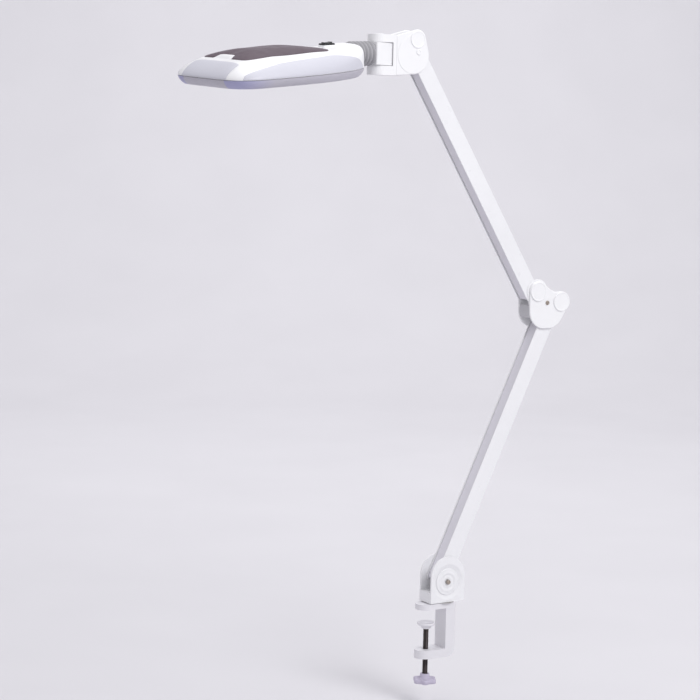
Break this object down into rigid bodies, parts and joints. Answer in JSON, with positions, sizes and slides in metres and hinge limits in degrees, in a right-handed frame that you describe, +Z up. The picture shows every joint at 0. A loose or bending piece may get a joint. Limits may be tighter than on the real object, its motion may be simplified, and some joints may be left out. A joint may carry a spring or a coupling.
{
  "type": "magnifying lamp",
  "caption": "Clamp-on magnifying lamp: sprung parallelogram arms, swivel base yoke, panning and tilting head with lens, light ring and hinged dust cover.",
  "frame": {"origin": "on the underside of the clamp's upper jaw, on the clamp screw's axis", "axes": "+Z up, head towards -X, arms work in the XZ plane"},
  "size_m": [0.6321, 0.1707, 0.9246],
  "materials": {
    "white_enamel": "satin",
    "white_plastic": "satin",
    "clamp_cast": "satin",
    "grey_panel": "fine matt",
    "grey_shell": "fine matt",
    "inner_channel": "satin",
    "steel": "satin",
    "dark_steel": "oiled",
    "knob_plastic": "moulded",
    "bellows_rubber": "matt",
    "black_plastic": "gloss",
    "smoked_cover": "gloss",
    "lens_glass": "polished",
    "circuit_board": "matt",
    "diffuser": "frosted"
  },
  "bodies": {
    "clamp": {"clamp_frame": "clamp_cast", "swivel_stud": "steel", "swivel_washer": "steel"},
    "screw_pad": {"pressure_pad": "clamp_cast"},
    "screw": {"clamp_screw": "dark_steel", "clamp_knob": "knob_plastic"},
    "base_swivel": {"base_yoke": "white_enamel", "base_pivot_pin": "steel", "base_link_pin": "steel", "base_disc_near": "white_enamel", "base_disc_far": "white_enamel", "base_screw_near": "steel", "base_screw_far": "steel"},
    "lower_arm": {"lower_arm_channel": "white_enamel", "lower_arm_spring": "steel", "cord_grommet": "black_plastic"},
    "lower_link": {"lower_arm_link": "inner_channel"},
    "elbow": {"elbow_cover_near": "white_plastic", "elbow_cover_far": "white_plastic", "elbow_cap_lower_near": "white_plastic", "elbow_cap_lower_far": "white_plastic", "elbow_cap_upper_near": "white_plastic", "elbow_cap_upper_far": "white_plastic", "elbow_screw": "steel", "elbow_lower_pivot_pin": "steel", "elbow_lower_link_pin": "steel", "elbow_upper_pivot_pin": "steel", "elbow_upper_link_pin": "steel", "elbow_front_wall": "white_plastic"},
    "upper_arm": {"upper_arm_channel": "white_enamel", "upper_arm_spring": "steel"},
    "upper_link": {"upper_arm_link": "inner_channel"},
    "head_bracket": {"bracket_cover_near": "white_plastic", "bracket_cover_far": "white_plastic", "bracket_cap_near": "white_plastic", "bracket_cap_far": "white_plastic", "bracket_screw": "steel", "bracket_pivot_pin": "steel", "bracket_link_pin": "steel", "bracket_yoke": "white_enamel", "pan_pin": "white_enamel"},
    "knuckle": {"pan_knuckle": "white_enamel"},
    "neck": {"neck_stem": "steel", "neck_bellows": "bellows_rubber"},
    "head": {"tilt_fork": "dark_steel", "tilt_pin": "steel", "upper_shell": "white_plastic", "lower_shell": "grey_shell", "side_panel_near": "grey_panel", "side_panel_far": "grey_panel", "front_panel": "grey_panel", "lens": "lens_glass", "lens_frame": "white_plastic", "led_board": "circuit_board", "diffuser_ring": "diffuser", "driver_board": "circuit_board", "cover_hinge_pin": "white_plastic", "switch_bezel": "black_plastic"},
    "cover": {"dust_cover": "smoked_cover"},
    "rocker": {"switch_rocker": "black_plastic"}
  },
  "joints": [
    {"name": "screw_turn", "type": "hinge", "parent": "screw_pad", "child": "screw", "pos_m": [0, 0, -0.06], "axis": [0, 0, 1], "range_deg": [-8360, 5190]},
    {"name": "screw_travel", "type": "slide", "parent": "clamp", "child": "screw_pad", "axis": [0, 0, 1], "range_m": [-0.029, 0.018]},
    {"name": "base_turn", "type": "hinge", "parent": "clamp", "child": "base_swivel", "pos_m": [0.026, 0, 0.01], "axis": [0, 0, 1], "range_deg": [-170, 170]},
    {"name": "lower_arm_swing", "type": "hinge", "parent": "base_swivel", "child": "lower_arm", "pos_m": [0.026, 0, 0.0385], "axis": [0, 1, 0], "range_deg": [-40, 18]},
    {"name": "lower_link_swing", "type": "hinge", "parent": "base_swivel", "child": "lower_link", "pos_m": [0.01333, 0, 0.04447], "axis": [0, 1, 0], "range_deg": [-40, 18]},
    {"name": "elbow_level", "type": "hinge", "parent": "lower_arm", "child": "elbow", "pos_m": [0.2133, 0, 0.4361], "axis": [0, 1, 0], "range_deg": [-18, 40]},
    {"name": "upper_arm_swing", "type": "hinge", "parent": "elbow", "child": "upper_arm", "pos_m": [0.1711, 0, 0.4515], "axis": [0, 1, 0], "range_deg": [-40, 20]},
    {"name": "upper_link_swing", "type": "hinge", "parent": "elbow", "child": "upper_link", "pos_m": [0.15924, 0, 0.44405], "axis": [0, 1, 0], "range_deg": [-40, 20]},
    {"name": "bracket_level", "type": "hinge", "parent": "upper_arm", "child": "head_bracket", "pos_m": [-0.0495, 0, 0.8027], "axis": [0, 1, 0], "range_deg": [-20, 40]},
    {"name": "head_pan", "type": "hinge", "parent": "head_bracket", "child": "knuckle", "pos_m": [-0.104, 0, 0.7811], "axis": [0, 0, 1], "range_deg": [-90, 75]},
    {"name": "head_roll", "type": "hinge", "parent": "knuckle", "child": "neck", "pos_m": [-0.104, 0, 0.7811], "axis": [0.9885, 0.1513, 0], "range_deg": [-25, 25]},
    {"name": "head_tilt", "type": "hinge", "parent": "neck", "child": "head", "pos_m": [-0.13761, -0.00514, 0.7811], "axis": [-0.1513, 0.9885, 0], "range_deg": [-30, 30], "deforming": ["neck_bellows"]},
    {"name": "cover_open", "type": "hinge", "parent": "head", "child": "cover", "pos_m": [-0.21716, -0.01931, 0.78432], "axis": [-0.1579, 0.9849, 0.0711], "range_deg": [0, 90]},
    {"name": "rocker_rock", "type": "hinge", "parent": "head", "child": "rocker", "pos_m": [-0.19478, -0.01422, 0.79171], "axis": [-0.1579, 0.9849, 0.0711], "range_deg": [-8, 8]}
  ],
  "couplings": [
    {"joint": "screw_turn", "follows": "screw_travel", "rad_per_m": 5026.5},
    {"joint": "lower_link_swing", "follows": "lower_arm_swing", "ratio": 1},
    {"joint": "elbow_level", "follows": "lower_arm_swing", "ratio": -1},
    {"joint": "upper_link_swing", "follows": "upper_arm_swing", "ratio": 1},
    {"joint": "bracket_level", "follows": "upper_arm_swing", "ratio": -1}
  ]
}
